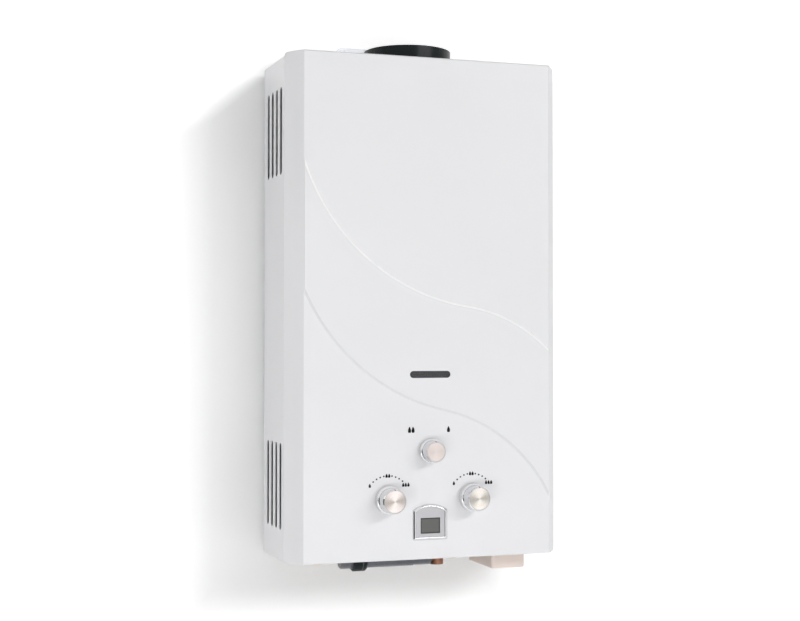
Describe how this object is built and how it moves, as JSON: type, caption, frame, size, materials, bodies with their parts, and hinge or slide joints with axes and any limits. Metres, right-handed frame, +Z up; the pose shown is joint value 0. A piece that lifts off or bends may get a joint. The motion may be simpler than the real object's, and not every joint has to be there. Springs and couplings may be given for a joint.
{
  "type": "tankless gas water heater",
  "caption": "Wall-hung tankless gas water heater: white chamfered housing with a raised S band, turning knobs, sight slot, display window, flue collar and battery drawer lid below.",
  "frame": {"origin": "on the wall plane, centred left to right, level with the casing's lower edge", "axes": "+X to the right seen from the front, +Y into the wall, +Z up"},
  "size_m": [0.34, 0.167, 0.6438],
  "materials": {
    "white_enamel": "smooth gloss enamel on sheet steel",
    "zinc_sheet": "galvanised sheet with faint spangle",
    "dark_enamel": "dark gloss enamel",
    "knob_shell": "silvered plastic with a bright bevel",
    "spun_metal": "spun face, warm silver",
    "satin_cap": "satin, warm pale",
    "steel": "plain steel",
    "clear_glass": "dark heat-proof glass",
    "display_window": "grey display, off",
    "bright_rim": "bright plated rim",
    "rim_plate": "silver-grey plate",
    "board": "dark moulded plastic",
    "copper": null,
    "brass": "turned brass",
    "cast_alloy": "die cast",
    "ceramic": "glazed ceramic",
    "rubber": "rubber",
    "nickel": "nickel-plated, grey",
    "black_plastic": "black gloss plastic",
    "cream_plastic": "cream plastic",
    "cell_wrap": "plain dark wrap",
    "sensor": "small metal can",
    "lead_jacket": "silicone jacket"
  },
  "bodies": {
    "housing": {"front_panel": "white_enamel", "casing": "white_enamel", "back_panel": "zinc_sheet", "hood": "zinc_sheet", "brackets": "zinc_sheet", "burner_tray": "zinc_sheet", "panel_clips": "zinc_sheet", "glass_retainer": "zinc_sheet", "flue_collar": "dark_enamel", "valve_spring": "steel", "valve_screws": "steel", "electrodes": "steel", "battery_contacts": "steel", "burner_bars": "steel", "sight_glass": "clear_glass", "display_lens": "display_window", "display_rim": "bright_rim", "display_plate": "rim_plate", "display_board": "board", "micro_switch": "board", "solenoid_valve": "board", "igniter_box": "board", "exchanger_shell": "copper", "exchanger_fins": "copper", "exchanger_tube": "copper", "water_pipes": "copper", "drain_elbow": "copper", "pipe_unions": "brass", "gas_jets": "brass", "water_valve": "brass", "valve_cover": "brass", "gas_inlet": "brass", "cold_inlet": "brass", "hot_outlet": "brass", "gas_valve": "cast_alloy", "season_valve": "cast_alloy", "gas_rail": "cast_alloy", "insulators": "ceramic", "diaphragm": "rubber", "drain_bar": "nickel", "lock_ring": "black_plastic", "battery_box": "cream_plastic", "battery_cells": "cell_wrap", "safety_sensors": "sensor", "leads": "lead_jacket"},
    "gas_control": {"gas_knob": "knob_shell", "gas_disc": "spun_metal", "gas_spindle": "steel"},
    "water_control": {"water_knob": "knob_shell", "water_disc": "spun_metal", "water_spindle": "steel"},
    "season_control": {"season_knob": "knob_shell", "season_disc": "satin_cap", "season_spindle": "steel"},
    "flow_rod": {"flow_rod": "steel"},
    "switch_lever": {"switch_lever": "steel"},
    "battery_lid": {"battery_lid": "cream_plastic", "lid_contact": "steel"},
    "drain_nut": {"drain_nut": "black_plastic"}
  },
  "joints": [
    {"name": "gas_knob_turn", "type": "hinge", "parent": "housing", "child": "gas_control", "pos_m": [-0.052, -0.14, 0.071], "axis": [0, 1, 0], "range_deg": [-53, 53]},
    {"name": "water_knob_turn", "type": "hinge", "parent": "housing", "child": "water_control", "pos_m": [0.052, -0.14, 0.071], "axis": [0, 1, 0], "range_deg": [-53, 53]},
    {"name": "season_knob_turn", "type": "hinge", "parent": "housing", "child": "season_control", "pos_m": [0, -0.14, 0.1265], "axis": [0, 1, 0], "range_deg": [-45, 45]},
    {"name": "flow_rod_slide", "type": "slide", "parent": "housing", "child": "flow_rod", "axis": [-1, 0, 0], "range_m": [0, 0.004], "stiffness_N_per_m": 600, "deforming": ["valve_spring"]},
    {"name": "switch_lever_swing", "type": "hinge", "parent": "housing", "child": "switch_lever", "pos_m": [0.0194, -0.072, 0.1005], "axis": [0, 1, 0], "range_deg": [0, 10]},
    {"name": "battery_lid_swing", "type": "hinge", "parent": "housing", "child": "battery_lid", "pos_m": [0.1112, -0.031, -0.0166], "axis": [1, 0, 0], "range_deg": [0, 95]},
    {"name": "drain_nut_turn", "type": "hinge", "parent": "housing", "child": "drain_nut", "pos_m": [-0.07, -0.07, -0.0062], "axis": [1, 0, 0], "range_deg": [0, 180]}
  ],
  "couplings": [
    {"joint": "switch_lever_swing", "follows": "flow_rod_slide", "rad_per_m": 43}
  ]
}
